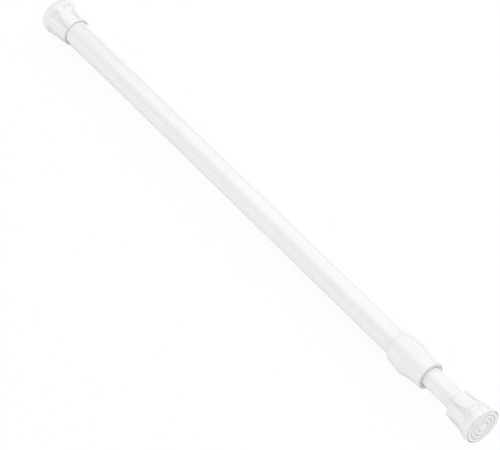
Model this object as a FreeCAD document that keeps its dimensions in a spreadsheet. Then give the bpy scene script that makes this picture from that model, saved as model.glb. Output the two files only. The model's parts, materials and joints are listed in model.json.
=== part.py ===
import FreeCAD, Part
import os
import Sketcher

# Spring tension rod: two telescoping steel tubes with fluted end caps, a barrel collar on the
# joint, and inside them a twist lock and a compression spring. The rod lies along +X, from the
# fixed foot at the origin to the sliding foot, and +Z is up. All lengths are in millimetres.

Vector = FreeCAD.Vector
Rotation = FreeCAD.Rotation
Placement = FreeCAD.Placement

# Driving sizes
SIZES = {
    "outer_tube_diameter": 16.0,
    "outer_tube_wall": 0.5,
    "outer_tube_length": 355.5,
    "inner_tube_diameter": 12.7,
    "inner_tube_wall": 0.5,
    "closed_clearance": 11.0,
    "shown_inner_tube": 24.5,
    "fixed_gap": 0.04,
    "sliding_gap": 0.08,
    "cap_length": 20.4,
    "cap_mouth_diameter": 18.6,
    "cap_neck_diameter": 20.2,
    "cap_neck_from_foot": 9.3,
    "cap_rim_width": 1.56,
    "cap_flare_end": 4.3,
    "cap_flare_radius": 9.5,
    "cap_rim_edge": 0.8,
    "cap_shoulder_round": 0.7,
    "cap_mouth_round": 0.25,
    "cap_mouth_recess": 2.0,
    "cap_mouth_wall": 0.65,
    "cap_floor": 2.0,
    "cap_turn": 40.0,
    "flute_count": 6,
    "flute_from_foot": 9.6,
    "flute_end_radius": 5.0,
    "flute_depth": 1.4,
    "flute_tip_radius": 0.4,
    "flute_side_radius": 400.0,
    "pad_diameter": 19.9,
    "pad_thickness": 2.2,
    "pad_proud": 0.4,
    "pad_edge": 0.3,
    "pad_ring_count": 3,
    "pad_ring_inset": 2.28,
    "pad_ring_pitch": 2.32,
    "pad_ring_width": 1.0,
    "pad_ring_depth": 0.7,
    "collar_length": 28.0,
    "collar_start_diameter": 19.0,
    "collar_start_round": 0.9,
    "collar_wide_diameter": 21.6,
    "collar_wide_from_mouth": 15.2,
    "collar_front_radius": 70.0,
    "collar_cove_radius": 42.0,
    "collar_mouth_diameter": 18.0,
    "collar_mouth_land": 3.0,
    "collar_mouth_round": 0.4,
    "collar_lip": 2.1,
    "collar_lip_gap": 0.75,
    "guide_ring_flange": 0.9,
    "guide_ring_length": 10.0,
    "adapter_floor_gap": 1.3,
    "adapter_flange": 1.2,
    "crimp_depth": 0.35,
    "crimp_half_width": 1.2,
    "bush_flange_length": 8.0,
    "bush_plug_length": 14.0,
    "bush_crimp_from_end": 6.0,
    "bush_ring_width": 3.0,
    "bush_ring_thickness": 1.0,
    "bush_ring_gap_angle": 24.0,
    "bush_relief": 0.15,
    "hex_across_flats": 6.0,
    "spare_hex_length": 2.0,
    "spring_travel": 18.0,
    "thread_diameter": 5.0,
    "seat_thickness": 4.0,
    "seat_neck_diameter": 4.0,
    "spring_washer_thickness": 0.8,
    "rivet_head_diameter": 6.4,
    "rivet_head_thickness": 1.4,
    "spring_length": 60.0,
    "spring_wire": 1.0,
    "spring_outside_diameter": 10.8,
    "spring_turns": 12,
    "stop_length": 9.0,
    "stop_boss_length": 5.0,
    "stop_boss_diameter": 7.6,
    "stop_bore": 3.0,
    "sleeve_length": 22.0,
    "sleeve_cone_length": 14.0,
    "sleeve_cone_mouth": 11.2,
    "sleeve_cone_throat": 7.0,
    "sleeve_slit_width": 1.4,
    "sleeve_slit_length": 15.0,
    "sleeve_slit_count": 4,
    "sleeve_groove_from_mouth": 5.0,
    "jaw_ring_wire": 0.8,
    "jaw_ring_gap_angle": 30.0,
    "wedge_flange_thickness": 4.0,
    "wedge_flange_diameter": 13.0,
    "wedge_cone_length": 9.0,
    "wedge_gap": 0.4,
    "wedge_key_length": 5.0,
    "wedge_key_gap": 0.1,
    "loosening_travel": 1.6,
    "thrust_washer_thickness": 1.2,
    "thrust_washer_diameter": 13.4,
    "end_stop_thickness": 2.5,
    "end_stop_diameter": 8.0,
    "spindle_end_length": 0.5,
}

# Places and radii that follow from the driving sizes, in the order in which they are needed
PLACES = {
    "outer_radius": "Sizes.outer_tube_diameter / 2",
    "outer_bore": "Places.outer_radius - Sizes.outer_tube_wall",
    "inner_radius": "Sizes.inner_tube_diameter / 2",
    "inner_bore": "Places.inner_radius - Sizes.inner_tube_wall",
    "outer_tube_start": "Sizes.pad_thickness + Sizes.cap_floor",
    "outer_tube_end": "Places.outer_tube_start + Sizes.outer_tube_length",
    "collar_mouth": "Places.outer_tube_end + Sizes.guide_ring_flange + Sizes.collar_lip",
    "collar_start": "Places.collar_mouth - Sizes.collar_length",
    "sliding_cap_mouth": "Places.collar_mouth + Sizes.shown_inner_tube",
    "sliding_cap_foot": "Places.sliding_cap_mouth + Sizes.cap_length",
    "sliding_pad_face": "Places.sliding_cap_foot + Sizes.pad_proud",
    "inner_tube_end": "Places.sliding_pad_face - Sizes.pad_thickness - Sizes.cap_floor",
    "spindle_start": "Places.outer_tube_start + Sizes.closed_clearance + Sizes.shown_inner_tube",
    "end_stop_start": "Places.spindle_start + Sizes.spindle_end_length",
    "wedge_start": "Places.end_stop_start + Sizes.end_stop_thickness + Sizes.loosening_travel"
                   " + Sizes.wedge_gap",
    "sleeve_start": "Places.wedge_start + Sizes.wedge_flange_thickness + Sizes.wedge_gap",
    "thrust_washer_start": "Places.sleeve_start + Sizes.sleeve_length + Sizes.sliding_gap",
    "hex_start": "Places.thrust_washer_start + Sizes.thrust_washer_thickness",
    "bush_start": "Places.hex_start + Sizes.spring_travel + Sizes.spare_hex_length",
    "inner_tube_start": "Places.bush_start + Sizes.bush_flange_length",
    "inner_tube_length": "Places.inner_tube_end - Places.inner_tube_start",
    "bush_end": "Places.inner_tube_start + Sizes.bush_plug_length",
    "hex_length": "Places.bush_end - Places.hex_start",
    "thread_length": "Places.hex_start - Places.spindle_start",
    "cap_bore": "Places.outer_radius + Sizes.fixed_gap",
    "cap_neck": "Sizes.cap_neck_diameter / 2",
    "cap_mouth": "Sizes.cap_mouth_diameter / 2",
    "pad_recess": "Sizes.pad_diameter / 2 + Sizes.fixed_gap",
    "cap_foot": "Places.pad_recess + Sizes.cap_rim_width",
    "flute_centre": "Places.cap_neck + Sizes.flute_end_radius - Sizes.flute_depth",
    "flute_run": "Sizes.cap_length - Sizes.flute_from_foot",
    "flute_drop": "Places.flute_centre - Places.cap_mouth",
    "flute_length": "sqrt(pow(Places.flute_run; 2) + pow(Places.flute_drop; 2))",
    "flute_tilt": "atan(Places.flute_drop / Places.flute_run)",
    "slider_radius": "Places.outer_bore - Sizes.sliding_gap",
    "plug_radius": "Places.inner_bore - Sizes.fixed_gap",
    "shaft_hole": "Sizes.thread_diameter / 2 + Sizes.sliding_gap",
    "neck_length": "Sizes.seat_thickness + Sizes.spring_washer_thickness + Sizes.fixed_gap",
    "washer_start": "Places.bush_end + Sizes.seat_thickness",
    "spring_start": "Places.washer_start + Sizes.spring_washer_thickness",
    "stop_start": "Places.spring_start + Sizes.spring_length",
    "stop_crimp": "Places.stop_start - Places.inner_tube_start + Sizes.stop_length / 2",
    "coil_radius": "Sizes.spring_outside_diameter / 2 - Sizes.spring_wire / 2",
    "cone_slope": "(Sizes.sleeve_cone_mouth - Sizes.sleeve_cone_throat) / 2"
                  " / Sizes.sleeve_cone_length",
    "sleeve_cone_mouth": "Sizes.sleeve_cone_mouth / 2",
}

doc = FreeCAD.newDocument("SpringTensionRod")


def make_sizes():
    """The spreadsheet with the driving sizes, one named cell each."""
    sheet = doc.addObject("Spreadsheet::Sheet", "Sizes")
    for row, (name, size) in enumerate(SIZES.items(), start=1):
        sheet.set(f"A{row}", name)
        sheet.set(f"B{row}", str(size))
        sheet.setAlias(f"B{row}", name)
    doc.recompute()
    return sheet


def make_places():
    """The values that follow from the driving sizes, each bound to an expression."""
    places = doc.addObject("App::VarSet", "Places")
    for name, expression in PLACES.items():
        places.addProperty("App::PropertyFloat", name, "Places", "")
        places.setExpression(name, expression)
        doc.recompute()
    return places


sizes = make_sizes()
places = make_places()


def value(expression):
    """The number that an expression on the sizes and places stands for."""
    return float(sizes.evalExpression(expression))


def origin_feature(body, role):
    """A plane or axis of a body's own origin."""
    for feature in body.Origin.OriginFeatures:
        if feature.Role == role:
            return feature
    raise ValueError(role)


def new_body(label, place, turned=False, roll="0"):
    """An empty body placed along the rod; a turned one points back towards the origin."""
    body = doc.addObject("PartDesign::Body", label)
    facing = Rotation(Vector(0, 0, 1), 180 if turned else 0)
    body.Placement = Placement(
        Vector(0, 0, 0), Rotation(Vector(1, 0, 0), value(roll)) * facing)
    body.setExpression("Placement.Base.x", place)
    return body


def new_sketch(body, name, role="XZ_Plane"):
    """A sketch on one of the body's origin planes."""
    sketch = body.newObject("Sketcher::SketchObject", name)
    sketch.AttachmentSupport = [(origin_feature(body, role), "")]
    sketch.MapMode = "FlatFace"
    return sketch


def constrain(sketch, expression, kind, *where):
    """One dimension of a sketch, bound to an expression."""
    index = sketch.addConstraint(Sketcher.Constraint(kind, *where, value(expression)))
    sketch.setExpression(f"Constraints[{index}]", expression)


def arc_between(start, end, radius, side):
    """The short arc from start to end; side +1 bulges left of the way, -1 right of it."""
    middle = (start + end) * 0.5
    chord = end - start
    half = chord.Length / 2
    normal = Vector(-chord.y, chord.x, 0).normalize()
    sagitta = radius - (radius ** 2 - half ** 2) ** 0.5
    return Part.Arc(start, middle + normal * (side * sagitta), end)


def draw_outline(sketch, outline):
    """A closed outline. Each corner is (along, across), or (along, across, radius, side)
    where an arc of that radius leads from it to the next corner."""
    corners = [Vector(value(corner[0]), value(corner[1]), 0) for corner in outline]
    ends = []
    for number, corner in enumerate(outline):
        start = corners[number]
        end = corners[(number + 1) % len(corners)]
        if len(corner) == 4:
            curve = sketch.addGeometry(arc_between(start, end, value(corner[2]), corner[3]))
        else:
            curve = sketch.addGeometry(Part.LineSegment(start, end))
        first_is_start = sketch.getPoint(curve, 1).distanceToPoint(start) < 1e-6
        ends.append((curve, 1, 2) if first_is_start else (curve, 2, 1))
    for number, corner in enumerate(outline):
        curve, first, last = ends[number]
        following, following_first, _ = ends[(number + 1) % len(ends)]
        sketch.addConstraint(
            Sketcher.Constraint("Coincident", curve, last, following, following_first))
        constrain(sketch, corner[0], "DistanceX", -1, 1, curve, first)
        if corner[1] == "0":
            sketch.addConstraint(Sketcher.Constraint("PointOnObject", curve, first, -1))
        else:
            constrain(sketch, corner[1], "DistanceY", -1, 1, curve, first)
        if len(corner) == 4:
            constrain(sketch, corner[2], "Radius", curve)


def revolve(body, name, outline, kind="PartDesign::Revolution"):
    """A solid of revolution about the rod's axis, or a groove cut the same way."""
    sketch = new_sketch(body, name + "_outline")
    draw_outline(sketch, outline)
    feature = body.newObject(kind, name)
    feature.Profile = sketch
    feature.ReferenceAxis = (sketch, ["H_Axis"])
    feature.Angle = 360
    return feature


def repeat_around(body, name, feature, count):
    """Copies of a feature, evenly spaced about the rod's axis."""
    pattern = body.newObject("PartDesign::PolarPattern", name)
    pattern.Originals = [feature]
    pattern.Axis = (origin_feature(body, "X_Axis"), [""])
    pattern.Angle = 360
    pattern.setExpression("Occurrences", count)
    body.Tip = pattern
    return pattern


def hexagon_sketch(body, name, across_flats, place):
    """A hexagon across the rod's axis, at a place along it."""
    sketch = new_sketch(body, name, "YZ_Plane")
    sketch.setExpression("AttachmentOffset.Base.z", place)
    corner_radius = value(f"({across_flats}) / sqrt(3)")
    corners = [Rotation(Vector(0, 0, 1), 60 * step).multVec(Vector(corner_radius, 0, 0))
               for step in range(6)]
    sides = [sketch.addGeometry(Part.LineSegment(corners[step], corners[(step + 1) % 6]))
             for step in range(6)]
    ring = sketch.addGeometry(
        Part.Circle(Vector(0, 0, 0), Vector(0, 0, 1), corner_radius), True)
    sketch.addConstraint(Sketcher.Constraint("Coincident", ring, 3, -1, 1))
    for step, side in enumerate(sides):
        following = sides[(step + 1) % 6]
        sketch.addConstraint(Sketcher.Constraint("Coincident", side, 2, following, 1))
        sketch.addConstraint(Sketcher.Constraint("PointOnObject", side, 1, ring))
        if step:
            sketch.addConstraint(Sketcher.Constraint("Equal", sides[0], side))
    sketch.addConstraint(Sketcher.Constraint("PointOnObject", sides[0], 1, -1))
    constrain(sketch, f"({across_flats}) / sqrt(3)", "Radius", ring)
    return sketch


def tube(label, place, length, radius, bore, crimps=()):
    """A drawn tube, with a rolled crimp at each place where it grips a plug."""
    body = new_body(label, place)
    half_width = "Sizes.crimp_half_width"
    outside = []
    inside = []
    for crimp in crimps:
        for surface, side in ((outside, radius), (inside, bore)):
            surface.append((f"{crimp} - {half_width}", side))
            surface.append((crimp, f"{side} - Sizes.crimp_depth"))
            surface.append((f"{crimp} + {half_width}", side))
    outline = [("0", bore), ("0", radius), *outside, (length, radius), (length, bore)]
    revolve(body, label + "_wall", outline + inside[::-1])
    return body


def end_cap(label, place, turned):
    """A moulded cap: round foot with a flare, fluted grip, and a recess for the ringed pad."""
    body = new_body(label, place, turned, "Sizes.cap_turn")
    foot = "Places.cap_foot"
    edge = "Sizes.cap_rim_edge"
    mouth_round = "Sizes.cap_mouth_round"
    recess_depth = "Sizes.pad_thickness - Sizes.pad_proud"
    floor = f"{recess_depth} + Sizes.cap_floor"
    mouth_recess = "Places.cap_mouth - Sizes.cap_mouth_wall"
    revolve(body, label + "_shell", [
        ("0", "Places.pad_recess"),
        ("0", f"{foot} - {edge}", edge, 1),
        (edge, foot),
        (f"Sizes.cap_flare_end - Sizes.cap_shoulder_round", foot,
         "Sizes.cap_shoulder_round * 1.2", 1),
        ("Sizes.cap_flare_end", f"{foot} - Sizes.cap_shoulder_round * 0.5",
         "Sizes.cap_flare_radius", -1),
        ("Sizes.cap_neck_from_foot", "Places.cap_neck"),
        (f"Sizes.cap_length - {mouth_round}", "Places.cap_mouth", mouth_round, 1),
        ("Sizes.cap_length", f"Places.cap_mouth - {mouth_round}"),
        ("Sizes.cap_length", mouth_recess),
        ("Sizes.cap_length - Sizes.cap_mouth_recess", mouth_recess),
        ("Sizes.cap_length - Sizes.cap_mouth_recess", "Places.cap_bore"),
        (floor, "Places.cap_bore"),
        (floor, "0"),
        (recess_depth, "0"),
        (recess_depth, "Places.pad_recess"),
    ])
    flute = revolve(body, label + "_flute", [
        ("-Sizes.flute_end_radius", "0", "Sizes.flute_end_radius", 1),
        ("0", "Sizes.flute_end_radius", "Sizes.flute_side_radius", -1),
        ("Places.flute_length", "Sizes.flute_tip_radius", "Sizes.flute_tip_radius", 1),
        ("Places.flute_length + Sizes.flute_tip_radius", "0"),
    ], "PartDesign::Groove")
    axis_sketch = flute.Profile[0]
    axis_sketch.AttachmentOffset = Placement(Vector(0, 0, 0), Rotation(Vector(0, 0, -1), 10))
    axis_sketch.setExpression("AttachmentOffset.Base.x", "Sizes.flute_from_foot")
    axis_sketch.setExpression("AttachmentOffset.Base.y", "Places.flute_centre")
    axis_sketch.setExpression("AttachmentOffset.Rotation.Angle", "Places.flute_tilt")
    repeat_around(body, label + "_flutes", flute, "Sizes.flute_count")
    return body


def foot_pad(label, place, turned):
    """A soft round pad whose face has raised rings between round grooves."""
    body = new_body(label, place, turned)
    half = "Sizes.pad_ring_width / 2"
    radius = "Sizes.pad_diameter / 2"
    rings = []
    for ring in reversed(range(SIZES["pad_ring_count"])):
        middle = f"{radius} - Sizes.pad_ring_inset - {ring} * Sizes.pad_ring_pitch"
        rings += [("0", f"{middle} - {half}"),
                  ("Sizes.pad_ring_depth", f"{middle} - {half} / 2"),
                  ("Sizes.pad_ring_depth", f"{middle} + {half} / 2"),
                  ("0", f"{middle} + {half}")]
    revolve(body, label + "_disc", [
        ("0", "0"),
        *rings,
        ("0", f"{radius} - Sizes.pad_edge"),
        ("Sizes.pad_edge", radius),
        ("Sizes.pad_thickness", radius),
        ("Sizes.pad_thickness", "0"),
    ])
    return body


def joint_collar():
    """The barrel collar pressed over the mouth of the outer tube."""
    body = new_body("joint_collar", "Places.collar_start")
    start = "Sizes.collar_start_diameter / 2"
    start_round = "Sizes.collar_start_round"
    wide = "Sizes.collar_wide_diameter / 2"
    mouth = "Sizes.collar_mouth_diameter / 2"
    mouth_round = "Sizes.collar_mouth_round"
    length = "Sizes.collar_length"
    bore = "Places.outer_radius + Sizes.fixed_gap"
    lip_bore = "Places.inner_radius + Sizes.collar_lip_gap"
    revolve(body, "collar_barrel", [
        ("0", bore),
        ("0", f"{start} - {start_round}", start_round, 1),
        (start_round, start, "Sizes.collar_front_radius", 1),
        (f"{length} - Sizes.collar_wide_from_mouth", wide, "Sizes.collar_cove_radius", -1),
        (f"{length} - Sizes.collar_mouth_land", mouth),
        (f"{length} - {mouth_round}", mouth, mouth_round, 1),
        (length, f"{mouth} - {mouth_round}"),
        (length, lip_bore),
        (f"{length} - Sizes.collar_lip", lip_bore),
        (f"{length} - Sizes.collar_lip", bore),
    ])
    return body


def guide_ring():
    """The flanged ring in the outer tube's mouth that the inner tube slides through."""
    body = new_body("collar_guide_ring", "Places.outer_tube_end - Sizes.guide_ring_length")
    bore = "Places.inner_radius + Sizes.sliding_gap"
    end = "Sizes.guide_ring_length + Sizes.guide_ring_flange"
    outside = "Places.outer_bore - Sizes.fixed_gap"
    revolve(body, "guide_ring_wall", [
        ("0", bore),
        ("0", outside),
        ("Sizes.guide_ring_length", outside),
        ("Sizes.guide_ring_length", "Places.outer_radius"),
        (end, "Places.outer_radius"),
        (end, bore),
    ])
    return body


def cap_adapter():
    """The sleeve that brings the inner tube up to the bore of the sliding cap."""
    body = new_body("cap_adapter", "Places.inner_tube_end", turned=True)
    bore = "Places.inner_radius + Sizes.fixed_gap"
    outside = "Places.cap_bore - Sizes.fixed_gap"
    flange = "Places.cap_mouth - Sizes.cap_mouth_wall - Sizes.fixed_gap"
    end = ("Sizes.cap_length + Sizes.pad_proud - Sizes.pad_thickness - Sizes.cap_floor"
           " - Sizes.cap_mouth_recess")
    revolve(body, "adapter_wall", [
        ("Sizes.adapter_floor_gap", bore),
        ("Sizes.adapter_floor_gap", outside),
        (end, outside),
        (end, flange),
        (f"{end} + Sizes.adapter_flange", flange),
        (f"{end} + Sizes.adapter_flange", bore),
    ])
    return body


def guide_bush():
    """The plug crimped in the inner tube's end: it slides in the outer tube and keys the spindle."""
    body = new_body("guide_bush", "Places.bush_start")
    slider = "Places.slider_radius - Sizes.bush_relief"
    groove = "(Sizes.bush_ring_width + 2 * Sizes.fixed_gap)"
    groove_floor = "Places.slider_radius - Sizes.bush_ring_thickness - Sizes.sliding_gap"
    middle = "Sizes.bush_flange_length / 2"
    end = "Sizes.bush_flange_length + Sizes.bush_plug_length"
    crimp = "Sizes.bush_flange_length + Sizes.bush_crimp_from_end"
    revolve(body, "bush_plug", [
        ("0", "0"),
        ("0", slider),
        (f"{middle} - {groove} / 2", slider),
        (f"{middle} - {groove} / 2", groove_floor),
        (f"{middle} + {groove} / 2", groove_floor),
        (f"{middle} + {groove} / 2", slider),
        ("Sizes.bush_flange_length", slider),
        ("Sizes.bush_flange_length", "Places.plug_radius"),
        (f"{crimp} - Sizes.crimp_half_width", "Places.plug_radius"),
        (crimp, "Places.plug_radius - Sizes.crimp_depth"),
        (f"{crimp} + Sizes.crimp_half_width", "Places.plug_radius"),
        (end, "Places.plug_radius"),
        (end, "0"),
    ])
    hole = body.newObject("PartDesign::Pocket", "bush_hex_hole")
    hole.Profile = hexagon_sketch(
        body, "bush_hexagon", "Sizes.hex_across_flats + 2 * Sizes.sliding_gap", "0")
    hole.Type = "ThroughAll"
    hole.Midplane = True
    return body


def slide_ring():
    """The open ring in the bush's groove that runs in the outer tube while the bush turns."""
    body = new_body("slide_ring", "Places.bush_start + Sizes.bush_flange_length / 2")
    half = "Sizes.bush_ring_width / 2"
    outside = "Places.slider_radius"
    inside = f"{outside} - Sizes.bush_ring_thickness"
    ring = revolve(body, "slide_ring_band", [
        (f"-{half}", inside),
        (f"-{half}", outside),
        (half, outside),
        (half, inside),
    ])
    ring.setExpression("Angle", "360 - Sizes.bush_ring_gap_angle")
    return body


def spring_stop():
    """The plug crimped in the inner tube that the far end of the spring pushes on."""
    body = new_body("spring_stop", "Places.stop_start")
    radius = "Places.plug_radius"
    crimp = "Sizes.stop_length / 2"
    boss = "Sizes.stop_boss_diameter / 2"
    revolve(body, "stop_plug", [
        ("-Sizes.stop_boss_length", "Sizes.stop_bore / 2"),
        ("-Sizes.stop_boss_length", f"{boss} - Sizes.spring_wire / 2"),
        ("-Sizes.stop_boss_length + Sizes.spring_wire / 2", boss),
        ("0", boss),
        ("0", radius),
        (f"{crimp} - Sizes.crimp_half_width", radius),
        (crimp, f"{radius} - Sizes.crimp_depth"),
        (f"{crimp} + Sizes.crimp_half_width", radius),
        ("Sizes.stop_length", radius),
        ("Sizes.stop_length", "Sizes.stop_bore / 2"),
    ])
    return body


def compression_spring():
    """The helical spring between the washer on the spindle and the stop."""
    body = new_body("compression_spring", "Places.spring_start")
    sketch = new_sketch(body, "wire_section")
    wire = sketch.addGeometry(
        Part.Circle(Vector(1, value("Places.coil_radius"), 0), Vector(0, 0, 1), 1))
    constrain(sketch, "Sizes.spring_wire / 2", "Radius", wire)
    constrain(sketch, "Sizes.spring_wire / 2", "DistanceX", -1, 1, wire, 3)
    constrain(sketch, "Places.coil_radius", "DistanceY", -1, 1, wire, 3)
    coil = body.newObject("PartDesign::AdditiveHelix", "coil")
    coil.Profile = sketch
    coil.ReferenceAxis = (sketch, ["H_Axis"])
    coil.Mode = "height-turns-angle"
    coil.setExpression("Height", "Sizes.spring_length - Sizes.spring_wire")
    coil.setExpression("Turns", "Sizes.spring_turns")
    return body


def washer(label, place, thickness, radius, bore):
    """A flat ring, as a washer or a pressed collar."""
    body = new_body(label, place)
    revolve(body, label + "_ring", [
        ("0", bore), ("0", radius), (thickness, radius), (thickness, bore)])
    return body


def spindle():
    """The hexagon bar with a turned shank for the wedge nut and a riveted end for the seat."""
    body = new_body("spindle", "Places.spindle_start")
    shank = "Sizes.thread_diameter / 2"
    neck = "Sizes.seat_neck_diameter / 2"
    hex_end = "Places.thread_length + Places.hex_length"
    neck_end = f"{hex_end} + Places.neck_length"
    head_end = f"{neck_end} + Sizes.rivet_head_thickness"
    head = "Sizes.rivet_head_diameter / 2"
    revolve(body, "spindle_shank", [
        ("0", "0"),
        ("0", shank),
        (hex_end, shank),
        (hex_end, neck),
        (neck_end, neck),
        (neck_end, head),
        (f"{head_end} - Sizes.rivet_head_thickness / 2", head),
        (head_end, f"{head} - Sizes.rivet_head_thickness / 2"),
        (head_end, "0"),
    ])
    bar = body.newObject("PartDesign::Pad", "spindle_bar")
    bar.Profile = hexagon_sketch(
        body, "spindle_hexagon", "Sizes.hex_across_flats", "Places.thread_length")
    bar.setExpression("Length", "Places.hex_length")
    return body


def lock_sleeve():
    """The slit sleeve whose jaws the wedge spreads against the bore of the outer tube."""
    body = new_body("lock_sleeve", "Places.sleeve_start")
    outside = "Places.slider_radius"
    groove = "Sizes.sleeve_groove_from_mouth"
    wire = "(Sizes.jaw_ring_wire + 2 * Sizes.sliding_gap)"
    revolve(body, "sleeve_wall", [
        ("0", "Places.sleeve_cone_mouth"),
        ("0", outside),
        (f"{groove} - {wire} / 2", outside),
        (f"{groove} - {wire} / 2", f"{outside} - {wire}"),
        (f"{groove} + {wire} / 2", f"{outside} - {wire}"),
        (f"{groove} + {wire} / 2", outside),
        ("Sizes.sleeve_length", outside),
        ("Sizes.sleeve_length", "Places.shaft_hole"),
        ("Sizes.sleeve_cone_length", "Places.shaft_hole"),
        ("Sizes.sleeve_cone_length", "Sizes.sleeve_cone_throat / 2"),
    ])
    sketch = new_sketch(body, "slit_outline")
    draw_outline(sketch, [
        ("-1", "0.5"),
        ("-1", f"{outside} + 1"),
        ("Sizes.sleeve_slit_length", f"{outside} + 1"),
        ("Sizes.sleeve_slit_length", "0.5"),
    ])
    slit = body.newObject("PartDesign::Pocket", "slit")
    slit.Profile = sketch
    slit.Midplane = True
    slit.setExpression("Length", "Sizes.sleeve_slit_width")
    repeat_around(body, "slits", slit, "Sizes.sleeve_slit_count")
    return body


def jaw_ring():
    """The open wire ring in the sleeve's groove that draws the jaws back together."""
    body = new_body("jaw_ring", "Places.sleeve_start + Sizes.sleeve_groove_from_mouth")
    sketch = new_sketch(body, "ring_wire_section")
    wire = sketch.addGeometry(
        Part.Circle(Vector(0, value("Places.slider_radius") - 1, 0), Vector(0, 0, 1), 1))
    centre = "Places.slider_radius - Sizes.sliding_gap - Sizes.jaw_ring_wire / 2"
    sketch.addConstraint(Sketcher.Constraint("PointOnObject", wire, 3, -2))
    constrain(sketch, "Sizes.jaw_ring_wire / 2", "Radius", wire)
    constrain(sketch, centre, "DistanceY", -1, 1, wire, 3)
    ring = body.newObject("PartDesign::Revolution", "open_ring")
    ring.Profile = sketch
    ring.ReferenceAxis = (sketch, ["H_Axis"])
    ring.setExpression("Angle", "360 - Sizes.jaw_ring_gap_angle")
    return body


def wedge_nut():
    """The cone on the spindle's shank, keyed in the slits, that a twist draws into the sleeve."""
    body = new_body("wedge_nut", "Places.wedge_start")
    flange = "Sizes.wedge_flange_thickness"
    entry = "Sizes.wedge_gap"
    bore = "Places.shaft_hole"
    cone_end = f"{flange} + {entry} + Sizes.wedge_cone_length"
    cone_start_radius = "Places.sleeve_cone_mouth - Sizes.wedge_key_gap"
    cone_end_radius = (f"{cone_start_radius} - Places.cone_slope * Sizes.wedge_cone_length")
    revolve(body, "wedge_cone", [
        ("0", bore),
        ("0", "Sizes.wedge_flange_diameter / 2"),
        (flange, "Sizes.wedge_flange_diameter / 2"),
        (flange, cone_start_radius),
        (f"{flange} + {entry}", cone_start_radius),
        (cone_end, cone_end_radius),
        (cone_end, bore),
    ])
    sketch = new_sketch(body, "key_outline")
    key_base = f"{bore} + Sizes.wedge_key_gap"
    key_top = "Places.slider_radius - Sizes.jaw_ring_wire - 4 * Sizes.sliding_gap"
    draw_outline(sketch, [
        (f"{flange} - {entry}", key_base),
        (f"{flange} - {entry}", key_top),
        (f"{flange} + Sizes.wedge_key_length", key_top),
        (f"{flange} + Sizes.wedge_key_length", key_base),
    ])
    key = body.newObject("PartDesign::Pad", "key")
    key.Profile = sketch
    key.Midplane = True
    key.setExpression("Length", "Sizes.sleeve_slit_width - 2 * Sizes.wedge_key_gap")
    repeat_around(body, "keys", key, "Sizes.sleeve_slit_count")
    return body


def build_parts():
    """Every sub-part of the rod, from the fixed foot to the sliding foot."""
    shaft_hole = "Places.shaft_hole"
    stop_crimp = "Places.stop_crimp"
    return [
        foot_pad("fixed_end_pad", "0", False),
        end_cap("fixed_end_cap", "Sizes.pad_proud", False),
        tube("outer_tube", "Places.outer_tube_start", "Sizes.outer_tube_length",
             "Places.outer_radius", "Places.outer_bore"),
        joint_collar(),
        guide_ring(),
        washer("spindle_end_stop", "Places.end_stop_start", "Sizes.end_stop_thickness",
               "Sizes.end_stop_diameter / 2", "Sizes.thread_diameter / 2 + Sizes.fixed_gap"),
        wedge_nut(),
        lock_sleeve(),
        jaw_ring(),
        washer("thrust_washer", "Places.thrust_washer_start", "Sizes.thrust_washer_thickness",
               "Sizes.thrust_washer_diameter / 2", shaft_hole),
        spindle(),
        guide_bush(),
        slide_ring(),
        washer("spring_seat", "Places.bush_end", "Sizes.seat_thickness",
               "Places.inner_bore - Sizes.sliding_gap",
               "Sizes.seat_neck_diameter / 2 + Sizes.fixed_gap"),
        washer("spring_washer", "Places.washer_start", "Sizes.spring_washer_thickness",
               "Sizes.spring_outside_diameter / 2",
               "Sizes.seat_neck_diameter / 2 + Sizes.fixed_gap"),
        compression_spring(),
        spring_stop(),
        tube("inner_tube", "Places.inner_tube_start", "Places.inner_tube_length",
             "Places.inner_radius", "Places.inner_bore",
             ("Sizes.bush_crimp_from_end", stop_crimp)),
        cap_adapter(),
        end_cap("sliding_end_cap", "Places.sliding_cap_foot", True),
        foot_pad("sliding_end_pad", "Places.sliding_pad_face", True),
    ]


def check_document():
    """Stop if any object of the document failed to compute."""
    for item in doc.Objects:
        if "Invalid" in item.State or "Error" in item.State:
            raise RuntimeError(f"{item.Label} failed: {item.State}")


def write_parts(parts):
    """One STEP file for each sub-part, named after it."""
    os.makedirs("parts", exist_ok=True)
    for part in parts:
        shape = part.Shape
        if shape.isNull() or not shape.isValid():
            raise RuntimeError(f"{part.Label} has no valid shape")
    for part in parts:
        part.Shape.exportStep(f"parts/{part.Label}.step")
        print(part.Label, round(part.Shape.Volume, 1), len(part.Shape.Solids))


parts = build_parts()
doc.recompute()
check_document()
write_parts(parts)
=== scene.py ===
import json
import math

import bmesh
import bpy
from mathutils import Matrix, Vector


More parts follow.
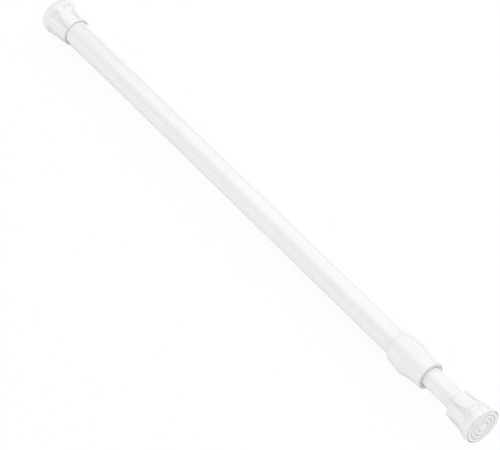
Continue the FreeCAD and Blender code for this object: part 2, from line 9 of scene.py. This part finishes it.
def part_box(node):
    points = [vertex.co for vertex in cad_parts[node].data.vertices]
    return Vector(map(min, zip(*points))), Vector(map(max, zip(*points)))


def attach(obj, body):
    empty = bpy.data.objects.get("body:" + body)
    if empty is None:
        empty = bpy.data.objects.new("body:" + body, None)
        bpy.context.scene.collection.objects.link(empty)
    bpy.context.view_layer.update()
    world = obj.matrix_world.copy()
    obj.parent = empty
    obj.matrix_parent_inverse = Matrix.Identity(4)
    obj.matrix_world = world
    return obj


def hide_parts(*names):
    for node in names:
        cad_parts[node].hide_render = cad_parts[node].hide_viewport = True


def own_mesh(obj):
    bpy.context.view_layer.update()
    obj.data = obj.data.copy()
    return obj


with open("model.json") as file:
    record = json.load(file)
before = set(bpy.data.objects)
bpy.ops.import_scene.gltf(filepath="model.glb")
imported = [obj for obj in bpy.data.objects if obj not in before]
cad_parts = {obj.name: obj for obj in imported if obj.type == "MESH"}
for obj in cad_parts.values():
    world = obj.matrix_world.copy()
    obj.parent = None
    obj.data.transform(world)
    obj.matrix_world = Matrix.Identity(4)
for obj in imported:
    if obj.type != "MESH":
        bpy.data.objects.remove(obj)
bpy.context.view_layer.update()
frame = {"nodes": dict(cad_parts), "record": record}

# Spring tension rod: the frame gives every piece its place, this script gives the surfaces.
# Settings are in millimetres for the pieces, along the rod and out from its axis, and in
# metres for the camera, the lamps and the floor.
mm = 0.001
touching = 0.002 * mm
cornerSegments = 4
print("stage: frame loaded")


# Shader sockets that take Python operators

class Socket:
    def __init__(self, paint, link):
        self.paint = paint
        self.link = link

    def maths(self, operation, first, second):
        return self.paint.node("ShaderNodeMath", {"operation": operation},
                               {0: first, 1: second})

    def __add__(self, other):
        return self.maths("ADD", self, other)

    def __radd__(self, other):
        return self.maths("ADD", other, self)

    def __mul__(self, other):
        return self.maths("MULTIPLY", self, other)

    def __rmul__(self, other):
        return self.maths("MULTIPLY", other, self)


# the nodes of one material, or of the room's light
class Paint:
    def __init__(self, owner):
        owner.use_nodes = True
        self.owner = owner
        self.nodes = owner.node_tree.nodes
        self.links = owner.node_tree.links

    # any node: its type, its settings, its inputs, and which output is wanted
    def node(self, kind, settings=None, inputs=None, output=0):
        made = self.nodes.new(kind)
        for name, setting in (settings or {}).items():
            setattr(made, name, setting)
        for name, given in (inputs or {}).items():
            self.feed(made.inputs[name], given)
        return Socket(self, made.outputs[output])

    def feed(self, socket, given):
        if isinstance(given, Socket):
            self.links.new(given.link, socket)
        else:
            socket.default_value = given

    # object coordinates, stretched by the scale
    def place(self, scale=(1.0, 1.0, 1.0)):
        where = self.node("ShaderNodeTexCoord", output="Object")
        return self.node("ShaderNodeMapping", inputs={"Vector": where, "Scale": scale})

    def noise(self, where, scale, detail=3.0, roughness=0.5):
        return self.node("ShaderNodeTexNoise", inputs={
            "Vector": where, "Scale": scale, "Detail": detail, "Roughness": roughness})

    # inputs 6 and 7 and output 2 are the colour ones
    def mix(self, factor, first, second):
        return self.node("ShaderNodeMix", {"data_type": "RGBA"},
                         {0: factor, 6: first, 7: second}, 2)

    def bump(self, height, depth):
        return self.node("ShaderNodeBump", inputs={"Height": height, "Distance": depth * mm})

    def finish(self, **sockets):
        shader = self.nodes["Principled BSDF"]
        for name, given in sockets.items():
            self.feed(shader.inputs[name.replace("_", " ")], given)
        return self.owner


greenShare = 0.3


# a near-white or grey; warmth takes some blue away, and a share of that from the green
def colour(level, warmth=0.0):
    return (level, level * (1 - warmth * greenShare), level * (1 - warmth), 1.0)


coatLook = {"bright": 0.86, "dull": 0.84, "warmth": 0.003, "gloss": 0.24, "glossSpread": 0.08,
            "peelScale": 900.0, "peelDetail": 2.0, "peelDepth": 0.008, "cloudScale": 60.0,
            "coat": 1.0, "coatGloss": 0.08}


# white powder coat: a faint orange peel under a satin gloss
def coatedSteel(name, look):
    paint = Paint(bpy.data.materials.new(name))
    where = paint.place()
    peel = paint.noise(where, look["peelScale"], look["peelDetail"])
    cloud = paint.noise(where, look["cloudScale"])
    return paint.finish(
        Base_Color=paint.mix(cloud, colour(look["dull"], look["warmth"]),
                             colour(look["bright"], look["warmth"])),
        Roughness=look["gloss"] + look["glossSpread"] * cloud,
        Coat_Weight=look["coat"],
        Coat_Roughness=look["coatGloss"],
        Normal=paint.bump(peel, look["peelDepth"]))


capLook = {"bright": 0.85, "dull": 0.83, "warmth": 0.003, "gloss": 0.26, "glossSpread": 0.1,
           "grainScale": 2600.0, "grainRoughness": 0.6, "grainDepth": 0.006,
           "flowScale": 140.0, "flowStretch": (0.35, 1.0, 1.0), "coat": 0.8, "coatGloss": 0.1}
collarLook = dict(capLook, gloss=0.24, bright=0.855)
padLook = dict(capLook, bright=0.88, dull=0.85, warmth=0.005, gloss=0.45, glossSpread=0.15,
               grainScale=4000.0, grainDepth=0.01, coat=0.0)
nylonLook = dict(capLook, bright=0.78, dull=0.74, warmth=0.06, gloss=0.42, glossSpread=0.12,
                 grainDepth=0.01, coat=0.0)
lockLook = dict(nylonLook, bright=0.72, warmth=0.12)


# moulded plastic: fine grain from the tool, with soft clouds where it flowed
def mouldedPlastic(name, look):
    paint = Paint(bpy.data.materials.new(name))
    grain = paint.noise(paint.place(), look["grainScale"], roughness=look["grainRoughness"])
    flow = paint.noise(paint.place(look["flowStretch"]), look["flowScale"])
    return paint.finish(
        Base_Color=paint.mix(flow, colour(look["dull"], look["warmth"]),
                             colour(look["bright"], look["warmth"])),
        Roughness=look["gloss"] + look["glossSpread"] * grain,
        Coat_Weight=look["coat"],
        Coat_Roughness=look["coatGloss"],
        Normal=paint.bump(grain, look["grainDepth"]))


zincLook = {"bright": 0.66, "dull": 0.52, "gloss": 0.26, "glossSpread": 0.16,
            "lineScale": 900.0, "lineStretch": (6.0, 0.6, 0.6), "lineDepth": 0.008,
            "patchScale": 260.0, "patchDetail": 4.0, "roughness": 0.6}
springLook = dict(zincLook, bright=0.46, dull=0.36, lineScale=1400.0, lineDepth=0.006)


# plated or drawn steel: fine lines round the turned surface, cloudy plating
def turnedSteel(name, look):
    paint = Paint(bpy.data.materials.new(name))
    lines = paint.noise(paint.place(look["lineStretch"]), look["lineScale"],
                        roughness=look["roughness"])
    patches = paint.noise(paint.place(), look["patchScale"], look["patchDetail"],
                          look["roughness"])
    return paint.finish(
        Base_Color=paint.mix(patches, colour(look["dull"]), colour(look["bright"])),
        Metallic=1.0,
        Roughness=look["gloss"] + look["glossSpread"] * patches,
        Normal=paint.bump(lines, look["lineDepth"]))


finishes = {
    "coated_tube": coatedSteel("coatedTube", coatLook),
    "cap_plastic": mouldedPlastic("capPlastic", capLook),
    "collar_plastic": mouldedPlastic("collarPlastic", collarLook),
    "foot_pad": mouldedPlastic("footRubber", padLook),
    "guide_nylon": mouldedPlastic("guideNylon", nylonLook),
    "lock_nylon": mouldedPlastic("lockNylon", lockLook),
    "plated_steel": turnedSteel("platedSteel", zincLook),
    "spring_steel": turnedSteel("springSteel", springLook),
}


# every node of the frame gets the finish of its slot
def dressNodes():
    for part in frame["record"]["subparts"]:
        node = frame["nodes"][part["node"]]
        node.data.materials.clear()
        node.data.materials.append(finishes[part["material_slot"]])


dressNodes()
print("stage: finishes")


# Turned and moulded shapes: a profile, rounded at its corners, then spun about the rod

# the arc from one corner to the next; with side 1 it bulges away from the axis
def arcPoints(start, end, radius, side, count):
    a = Vector(start)
    b = Vector(end)
    chord = b - a
    across = Vector((-chord.y, chord.x)).normalized() * side
    centre = (a + b) / 2 - across * math.sqrt(radius ** 2 - (chord.length / 2) ** 2)
    whole = (a - centre).angle_signed(b - centre)
    turns = [Matrix.Rotation(-whole * step / count, 2) for step in range(count + 1)]
    return [tuple(centre + turn @ (a - centre)) for turn in turns]


# one chain of vertices, or a loop; rounds gives corners their radius
def layProfile(bm, corners, rounds, closed):
    verts = [bm.verts.new((along * mm, 0.0, out * mm)) for along, out in corners]
    for first, second in zip(verts, verts[1:] + (verts[:1] if closed else [])):
        bm.edges.new((first, second))
    for radius in sorted(set(rounds.values())):
        bmesh.ops.bevel(bm, geom=[verts[at] for at in rounds if rounds[at] == radius],
                        offset=radius * mm, affect="VERTICES", segments=cornerSegments,
                        profile=0.5, material=-1)


def spinProfile(bm, steps):
    bmesh.ops.spin(bm, geom=bm.verts[:] + bm.edges[:], cent=(0, 0, 0), axis=(1, 0, 0),
                   angle=math.tau, steps=steps, use_merge=True)
    bmesh.ops.remove_doubles(bm, verts=bm.verts, dist=touching)
    bmesh.ops.recalc_face_normals(bm, faces=bm.faces)


# puts a shape at its place along the rod; a turned one faces back towards the origin
def setAlong(bm, at, turned):
    if turned:
        bmesh.ops.scale(bm, vec=(-1, 1, 1), verts=bm.verts)
        bmesh.ops.reverse_faces(bm, faces=bm.faces)
    bmesh.ops.translate(bm, vec=(at, 0, 0), verts=bm.verts)


# makes the object, rides it, and lets it stand for its node; sharp is an angle in degrees
def placePiece(bm, name, node, body, slot, sharp):
    mesh = bpy.data.meshes.new(name)
    bm.to_mesh(mesh)
    bm.free()
    mesh.shade_smooth()
    mesh.set_sharp_from_angle(angle=math.radians(sharp))
    mesh.materials.append(finishes[slot])
    piece = bpy.data.objects.new(name, mesh)
    bpy.context.scene.collection.objects.link(piece)
    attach(piece, body)
    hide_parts(node)
    return piece


def lowEnd(node):
    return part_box(node)[0].x


def highEnd(node):
    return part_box(node)[1].x


# End caps

capSizes = {
    "length": 20.4, "mouth": 9.35, "neck": 10.2, "neckAt": 9.3, "foot": 11.82,
    "flareEnd": 4.9, "flareRadius": 9.5, "shoulder": 11.35,
    "rimBack": 3.9, "rimFront": 11.28, "rimRadius": 24.0,
    "shoulderRound": 0.25, "mouthRound": 0.22, "innerRound": 0.14,
    "mouthBore": 8.4, "mouthRecess": 0.42, "tubeBore": 8.04, "skin": 8.7,
    "padBore": 11.15, "padRecess": 1.8, "floor": 3.8,
    "flareSteps": 14, "rimSteps": 8, "rows": 26, "steps": 144, "sharp": 32,
}
fluteSizes = {
    "count": 6, "turn": 40.0, "wide": 21.0, "narrow": 1.4, "widest": 7.0, "end": 5.0,
    "widening": 1.25, "deep": 1.7, "shallow": 0.5, "sinking": 0.8, "closing": 2.4,
    "steep": 3.4, "creaseColumn": 7, "creaseDepth": 0.1, "creaseStep": 0.02,
    "creaseRound": 0.09, "creaseSegments": 2,
}


# half the flute's width in degrees and its depth in millimetres, at a place from the foot
def fluteAt(along, sizes, flute):
    run = max((sizes["length"] - along) / (sizes["length"] - flute["widest"]), 0)
    if run <= 1:
        wider = (flute["wide"] - flute["narrow"]) * run ** flute["widening"]
        deeper = (flute["deep"] - flute["shallow"]) * run ** flute["sinking"]
        return flute["narrow"] + wider, flute["shallow"] + deeper
    past = (flute["widest"] - along) / (flute["widest"] - flute["end"])
    if past >= 1:
        return flute["narrow"], 0.0
    left = (1 - past ** flute["closing"]) ** (1 / flute["closing"])
    return max(flute["wide"] * left, flute["narrow"]), flute["deep"] * left


# draws the skin's columns onto the creases, sinks the flutes between them and rounds the
# creases where they are deep enough, but for the short edges in the mouth's round
def cutFlutes(bm, sizes, flute):
    sector = 360 / flute["count"]
    half = sector / 2
    column = sector / (sizes["steps"] / flute["count"])
    creases = set()
    for vert in bm.verts:
        along = vert.co.x / mm
        out = math.hypot(vert.co.y, vert.co.z) / mm
        if along <= flute["end"] or out < sizes["skin"]:
            continue
        angle = math.degrees(math.atan2(-vert.co.y, vert.co.z)) - flute["turn"]
        middle = round(angle / sector) * sector
        away = angle - middle
        width, depth = fluteAt(along, sizes, flute)
        crease = flute["creaseColumn"] * column
        part = abs(away) / crease
        if part <= 1:
            moved = width * part
            out -= depth * (1 - part ** flute["steep"])
        else:
            moved = width + (half - width) * (abs(away) - crease) / (half - crease)
        if round(abs(away) / column) == flute["creaseColumn"] and depth > flute["creaseDepth"]:
            creases.add(vert)
        turned = math.radians(middle + math.copysign(moved, away) + flute["turn"])
        vert.co.y = -math.sin(turned) * out * mm
        vert.co.z = math.cos(turned) * out * mm
    edges = [edge for edge in bm.edges
             if edge.verts[0] in creases and edge.verts[1] in creases
             and abs(edge.verts[0].co.x - edge.verts[1].co.x) > flute["creaseStep"] * mm]
    bmesh.ops.bevel(bm, geom=edges, offset=flute["creaseRound"] * mm, affect="EDGES",
                    segments=flute["creaseSegments"], profile=0.5, material=-1,
                    clamp_overlap=True)


# a moulded cap: floor, tube socket, mouth, fluted skin, flare, foot rim and pad recess
def endCap(name, node, body, sizes, flute, at, turned):
    bm = bmesh.new()
    lip = sizes["length"] - sizes["mouthRecess"]
    socket = [
        (sizes["floor"], 0.0),
        (sizes["floor"], sizes["tubeBore"]),
        (lip, sizes["tubeBore"]),
        (lip, sizes["mouthBore"]),
        (sizes["length"], sizes["mouthBore"]),
        (sizes["length"], sizes["mouth"]),
    ]
    flare = arcPoints((sizes["neckAt"], sizes["neck"]), (sizes["flareEnd"], sizes["shoulder"]),
                      sizes["flareRadius"], -1, sizes["flareSteps"])
    rim = arcPoints((sizes["rimBack"], sizes["foot"]), (0.0, sizes["rimFront"]),
                    sizes["rimRadius"], -1, sizes["rimSteps"])
    recess = [
        (0.0, sizes["padBore"]),
        (sizes["padRecess"], sizes["padBore"]),
        (sizes["padRecess"], 0.0),
    ]
    # corners 3 to 5 are the mouth's, the last is the ridge of the foot
    rounds = {3: sizes["innerRound"], 4: sizes["innerRound"], 5: sizes["mouthRound"],
              len(socket + flare): sizes["shoulderRound"]}
    layProfile(bm, socket + flare + rim + recess, rounds, False)
    outside = [edge for edge in bm.edges
               if min(vert.co.z for vert in edge.verts) > sizes["skin"] * mm]
    skin = max(outside, key=lambda edge: edge.calc_length())
    bmesh.ops.subdivide_edges(bm, edges=[skin], cuts=sizes["rows"])
    spinProfile(bm, sizes["steps"])
    cutFlutes(bm, sizes, flute)
    bmesh.ops.dissolve_degenerate(bm, dist=touching, edges=bm.edges)
    setAlong(bm, at, turned)
    placePiece(bm, name, node, body, "cap_plastic", sizes["sharp"])


# Foot pads

padSizes = {"radius": 10.45, "base": 10.95, "thick": 2.2, "edge": 0.2, "step": 0.9,
            "rings": (3.45, 6.0, 8.4), "ringWidth": 1.25, "ringDepth": 1.2, "slope": 0.1,
            "round": 0.16, "steps": 144, "sharp": 40}


# a soft disc whose face has three round grooves with rounded lips
def footPad(name, node, body, sizes, at, turned):
    bm = bmesh.new()
    corners = [(0.0, 0.0)]
    for ring in sizes["rings"]:
        half = sizes["ringWidth"] / 2
        corners += [(0.0, ring - half), (sizes["ringDepth"], ring - half + sizes["slope"]),
                    (sizes["ringDepth"], ring + half - sizes["slope"]), (0.0, ring + half)]
    rounds = {number: sizes["round"] for number in range(1, len(corners))}
    rounds[len(corners)] = sizes["edge"]
    corners += [(0.0, sizes["radius"]), (sizes["step"], sizes["radius"]),
                (sizes["step"], sizes["base"]), (sizes["thick"], sizes["base"]),
                (sizes["thick"], 0.0)]
    layProfile(bm, corners, rounds, False)
    spinProfile(bm, sizes["steps"])
    setAlong(bm, at, turned)
    placePiece(bm, name, node, body, "foot_pad", sizes["sharp"])


fixedFoot = lowEnd("fixed_end_cap")
slidingFoot = highEnd("sliding_end_cap")
endCap("fixedCap", "fixed_end_cap", "outer", capSizes, fluteSizes, fixedFoot, False)
endCap("slidingCap", "sliding_end_cap", "inner", capSizes, fluteSizes, slidingFoot, True)
footPad("fixedPad", "fixed_end_pad", "outer", padSizes, lowEnd("fixed_end_pad"), False)
footPad("slidingPad", "sliding_end_pad", "inner", padSizes, highEnd("sliding_end_pad"), True)
print("stage: end caps and pads")


# Collar on the joint

collarSizes = {
    "length": 28.0, "start": 9.6, "startRound": 0.8, "wide": 11.0, "wideFromMouth": 15.2,
    "wideRound": 0.35, "frontRadius": 70.0, "coveRadius": 42.0, "mouth": 9.0, "land": 3.0,
    "mouthRound": 0.35, "lipRound": 0.22, "bore": 8.04, "lipBore": 6.68, "lip": 2.1,
    "seam": 7.55, "seamWidth": 0.42, "seamDepth": 0.6, "frontSteps": 10, "coveSteps": 12,
    "steps": 128, "sharp": 40,
}


# the barrel: a gently crowned front, a crisp shoulder, then a cove down to the mouth
def jointCollar(sizes):
    bm = bmesh.new()
    length = sizes["length"]
    wideAt = length - sizes["wideFromMouth"]
    front = arcPoints((0.0, sizes["start"]), (wideAt, sizes["wide"]),
                      sizes["frontRadius"], 1, sizes["frontSteps"])
    cove = arcPoints((wideAt, sizes["wide"]), (length - sizes["land"], sizes["mouth"]),
                     sizes["coveRadius"], -1, sizes["coveSteps"])
    corners = [
        (0.0, sizes["bore"]),
        *front,
        *cove[1:],
        (length, sizes["mouth"]),
        (length, sizes["seam"] + sizes["seamWidth"]),
        (length - sizes["seamDepth"], sizes["seam"] + sizes["seamWidth"]),
        (length - sizes["seamDepth"], sizes["seam"]),
        (length, sizes["seam"]),
        (length, sizes["lipBore"]),
        (length - sizes["lip"], sizes["lipBore"]),
        (length - sizes["lip"], sizes["bore"]),
    ]
    shoulder = len(front)
    mouth = shoulder + len(cove)
    rounds = {1: sizes["startRound"], shoulder: sizes["wideRound"], mouth: sizes["mouthRound"],
              mouth + 5: sizes["lipRound"]}
    layProfile(bm, corners, rounds, True)
    spinProfile(bm, sizes["steps"])
    setAlong(bm, lowEnd("joint_collar"), False)
    placePiece(bm, "collarBarrel", "joint_collar", "outer", "collar_plastic", sizes["sharp"])


jointCollar(collarSizes)
print("stage: collar")


# Tubes

outerSizes = {"radius": 8.0, "bore": 7.5, "edge": 0.12, "crimps": (), "steps": 128,
              "sharp": 40}
innerSizes = dict(outerSizes, radius=6.35, bore=5.85, crimps=(6.0, 83.3), crimpDepth=0.35,
                  crimpHalf=1.2, crimpRound=0.5)


# a drawn tube with rolled grooves where it grips the plugs inside
def drawnTube(name, node, body, sizes):
    bm = bmesh.new()
    length = (highEnd(node) - lowEnd(node)) / mm
    outside = []
    inside = []
    for crimp in sizes["crimps"]:
        for wall, out in ((outside, sizes["radius"]), (inside, sizes["bore"])):
            wall += [(crimp - sizes["crimpHalf"], out), (crimp, out - sizes["crimpDepth"]),
                     (crimp + sizes["crimpHalf"], out)]
    corners = [(0.0, sizes["bore"]), (0.0, sizes["radius"]), *outside,
               (length, sizes["radius"]), (length, sizes["bore"]), *inside[::-1]]
    rounds = {at: sizes["edge"] for at in (0, 1, 2 + len(outside), 3 + len(outside))}
    for at, corner in enumerate(corners):
        if at not in rounds:
            rounds[at] = sizes["crimpRound"]
    layProfile(bm, corners, rounds, True)
    spinProfile(bm, sizes["steps"])
    setAlong(bm, lowEnd(node), False)
    placePiece(bm, name, node, body, "coated_tube", sizes["sharp"])


drawnTube("outerTube", "outer_tube", "outer", outerSizes)
drawnTube("innerTube", "inner_tube", "inner", innerSizes)
print("stage: tubes")


# The spring inside

coilSizes = {"wire": 1.0, "outside": 10.8, "turns": 12, "stroke": 18.0, "steps": 32,
             "sides": 12, "sharp": 60}


# a round wire wound along the rod
def springCoil(sizes):
    bm = bmesh.new()
    low = lowEnd("compression_spring")
    high = highEnd("compression_spring")
    wire = sizes["wire"] / 2 * mm
    middle = sizes["outside"] / 2 * mm - wire
    steps = sizes["turns"] * sizes["steps"]
    bmesh.ops.create_circle(bm, cap_ends=False, segments=sizes["sides"], radius=wire,
                            matrix=Matrix.Translation((wire, middle, 0.0)))
    bmesh.ops.spin(bm, geom=bm.verts[:] + bm.edges[:], cent=(0, 0, 0), axis=(1, 0, 0),
                   dvec=((high - low - 2 * wire) / steps, 0, 0),
                   angle=math.tau * sizes["turns"], steps=steps)
    rims = [edge for edge in bm.edges if edge.is_boundary]
    bmesh.ops.holes_fill(bm, edges=rims, sides=sizes["sides"])
    bmesh.ops.recalc_face_normals(bm, faces=bm.faces)
    setAlong(bm, low, False)
    piece = placePiece(bm, "springCoil", "compression_spring", "inner", "spring_steel",
                       sizes["sharp"])
    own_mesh(piece)


springCoil(coilSizes)
print("stage: spring")


# Camera, light and floor

cameraPlace = {"azimuth": 52.55, "elevation": 48.44, "lens": 232.2, "sensor": 36.0,
               "footRight": 0.1287, "footDown": 0.1116, "footDepth": 1.780,
               "nearest": 0.05, "farthest": 50.0}


# the camera stands where the near foot's centre comes to its place in the view
def addCamera(place):
    azimuth = math.radians(place["azimuth"])
    elevation = math.radians(place["elevation"])
    right = Vector((math.cos(azimuth), math.sin(azimuth), 0.0))
    forward = Vector((-math.sin(azimuth) * math.cos(elevation),
                      math.cos(azimuth) * math.cos(elevation), -math.sin(elevation)))
    up = right.cross(forward)
    foot = Vector((highEnd("sliding_end_pad"), 0.0, 0.0))
    spot = (foot - right * place["footRight"] + up * place["footDown"]
            - forward * place["footDepth"])
    data = bpy.data.cameras.new("camera")
    data.lens = place["lens"]
    data.sensor_width = place["sensor"]
    data.clip_start = place["nearest"]
    data.clip_end = place["farthest"]
    camera = bpy.data.objects.new("camera", data)
    turn = Matrix((right, up, -forward)).transposed().to_4x4()
    camera.matrix_world = Matrix.Translation(spot) @ turn
    bpy.context.scene.collection.objects.link(camera)
    bpy.context.scene.camera = camera


lampSet = {
    "topLamp": {"at": (0.0, 0.1, 1.0), "size": (2.2, 0.95), "power": 4.7},
    "backLamp": {"at": (0.0, 0.9, 0.7), "size": (2.2, 0.6), "power": 2.8},
    "frontLamp": {"at": (-0.3, -1.0, 0.14), "size": (2.2, 0.16), "power": 1.3},
    "endLamp": {"at": (1.2, -0.1, 0.35), "size": (0.6, 0.6), "power": 0.6},
}


# soft boxes that face the middle of the rod
def addLamps(lamps):
    aim = Vector((highEnd("sliding_end_pad") / 2, 0.0, 0.0))
    for name, lamp in lamps.items():
        data = bpy.data.lights.new(name, "AREA")
        data.shape = "RECTANGLE"
        data.size, data.size_y = lamp["size"]
        data.energy = lamp["power"]
        made = bpy.data.objects.new(name, data)
        spot = Vector(lamp["at"]) + aim
        made.matrix_world = (Matrix.Translation(spot)
                             @ (aim - spot).to_track_quat("-Z", "Y").to_matrix().to_4x4())
        bpy.context.scene.collection.objects.link(made)


roomLook = {"light": 0.78, "gloss": 0.2}


# a plain room: white where the camera sees it, dimmer as a light
def addRoom(look):
    world = bpy.data.worlds.new("room")
    bpy.context.scene.world = world
    paint = Paint(world)
    level = look["light"]
    for ray, seen in (("Is Glossy Ray", look["gloss"]), ("Is Camera Ray", 1.0)):
        asked = paint.node("ShaderNodeLightPath", output=ray)
        level = paint.node("ShaderNodeMix", {"data_type": "FLOAT"},
                           {"Factor": asked, "A": level, "B": seen})
    background = paint.nodes["Background"]
    paint.feed(background.inputs["Color"], colour(1.0))
    paint.feed(background.inputs["Strength"], level)


floorPlace = {"drop": 0.0119, "reach": 6.0, "shade": 0.9, "dullness": 0.9, "glow": 0.93}


# a pale floor that the rod lies on; the camera sees it white but for the shadow
def addFloor(place):
    bm = bmesh.new()
    bmesh.ops.create_grid(bm, x_segments=1, y_segments=1, size=place["reach"])
    bmesh.ops.translate(bm, vec=(0.0, 0.0, -place["drop"]), verts=bm.verts)
    mesh = bpy.data.meshes.new("floor")
    bm.to_mesh(mesh)
    bm.free()
    floor = bpy.data.objects.new("floor", mesh)
    bpy.context.scene.collection.objects.link(floor)
    paint = Paint(bpy.data.materials.new("floorPaint"))
    mesh.materials.append(paint.finish(Base_Color=colour(place["shade"]),
                                       Roughness=place["dullness"]))
    matte = Socket(paint, paint.nodes["Principled BSDF"].outputs[0])
    glow = paint.node("ShaderNodeEmission", inputs={"Color": colour(1.0), "Strength": 1.0})
    seen = paint.node("ShaderNodeLightPath", output="Is Camera Ray")
    both = paint.node("ShaderNodeMixShader",
                      inputs={0: seen * place["glow"], 1: matte, 2: glow})
    paint.feed(paint.nodes["Material Output"].inputs["Surface"], both)


addCamera(cameraPlace)
addLamps(lampSet)
addRoom(roomLook)
addFloor(floorPlace)
bpy.context.scene.view_settings.view_transform = "Standard"
print("stage: camera, lamps and floor")
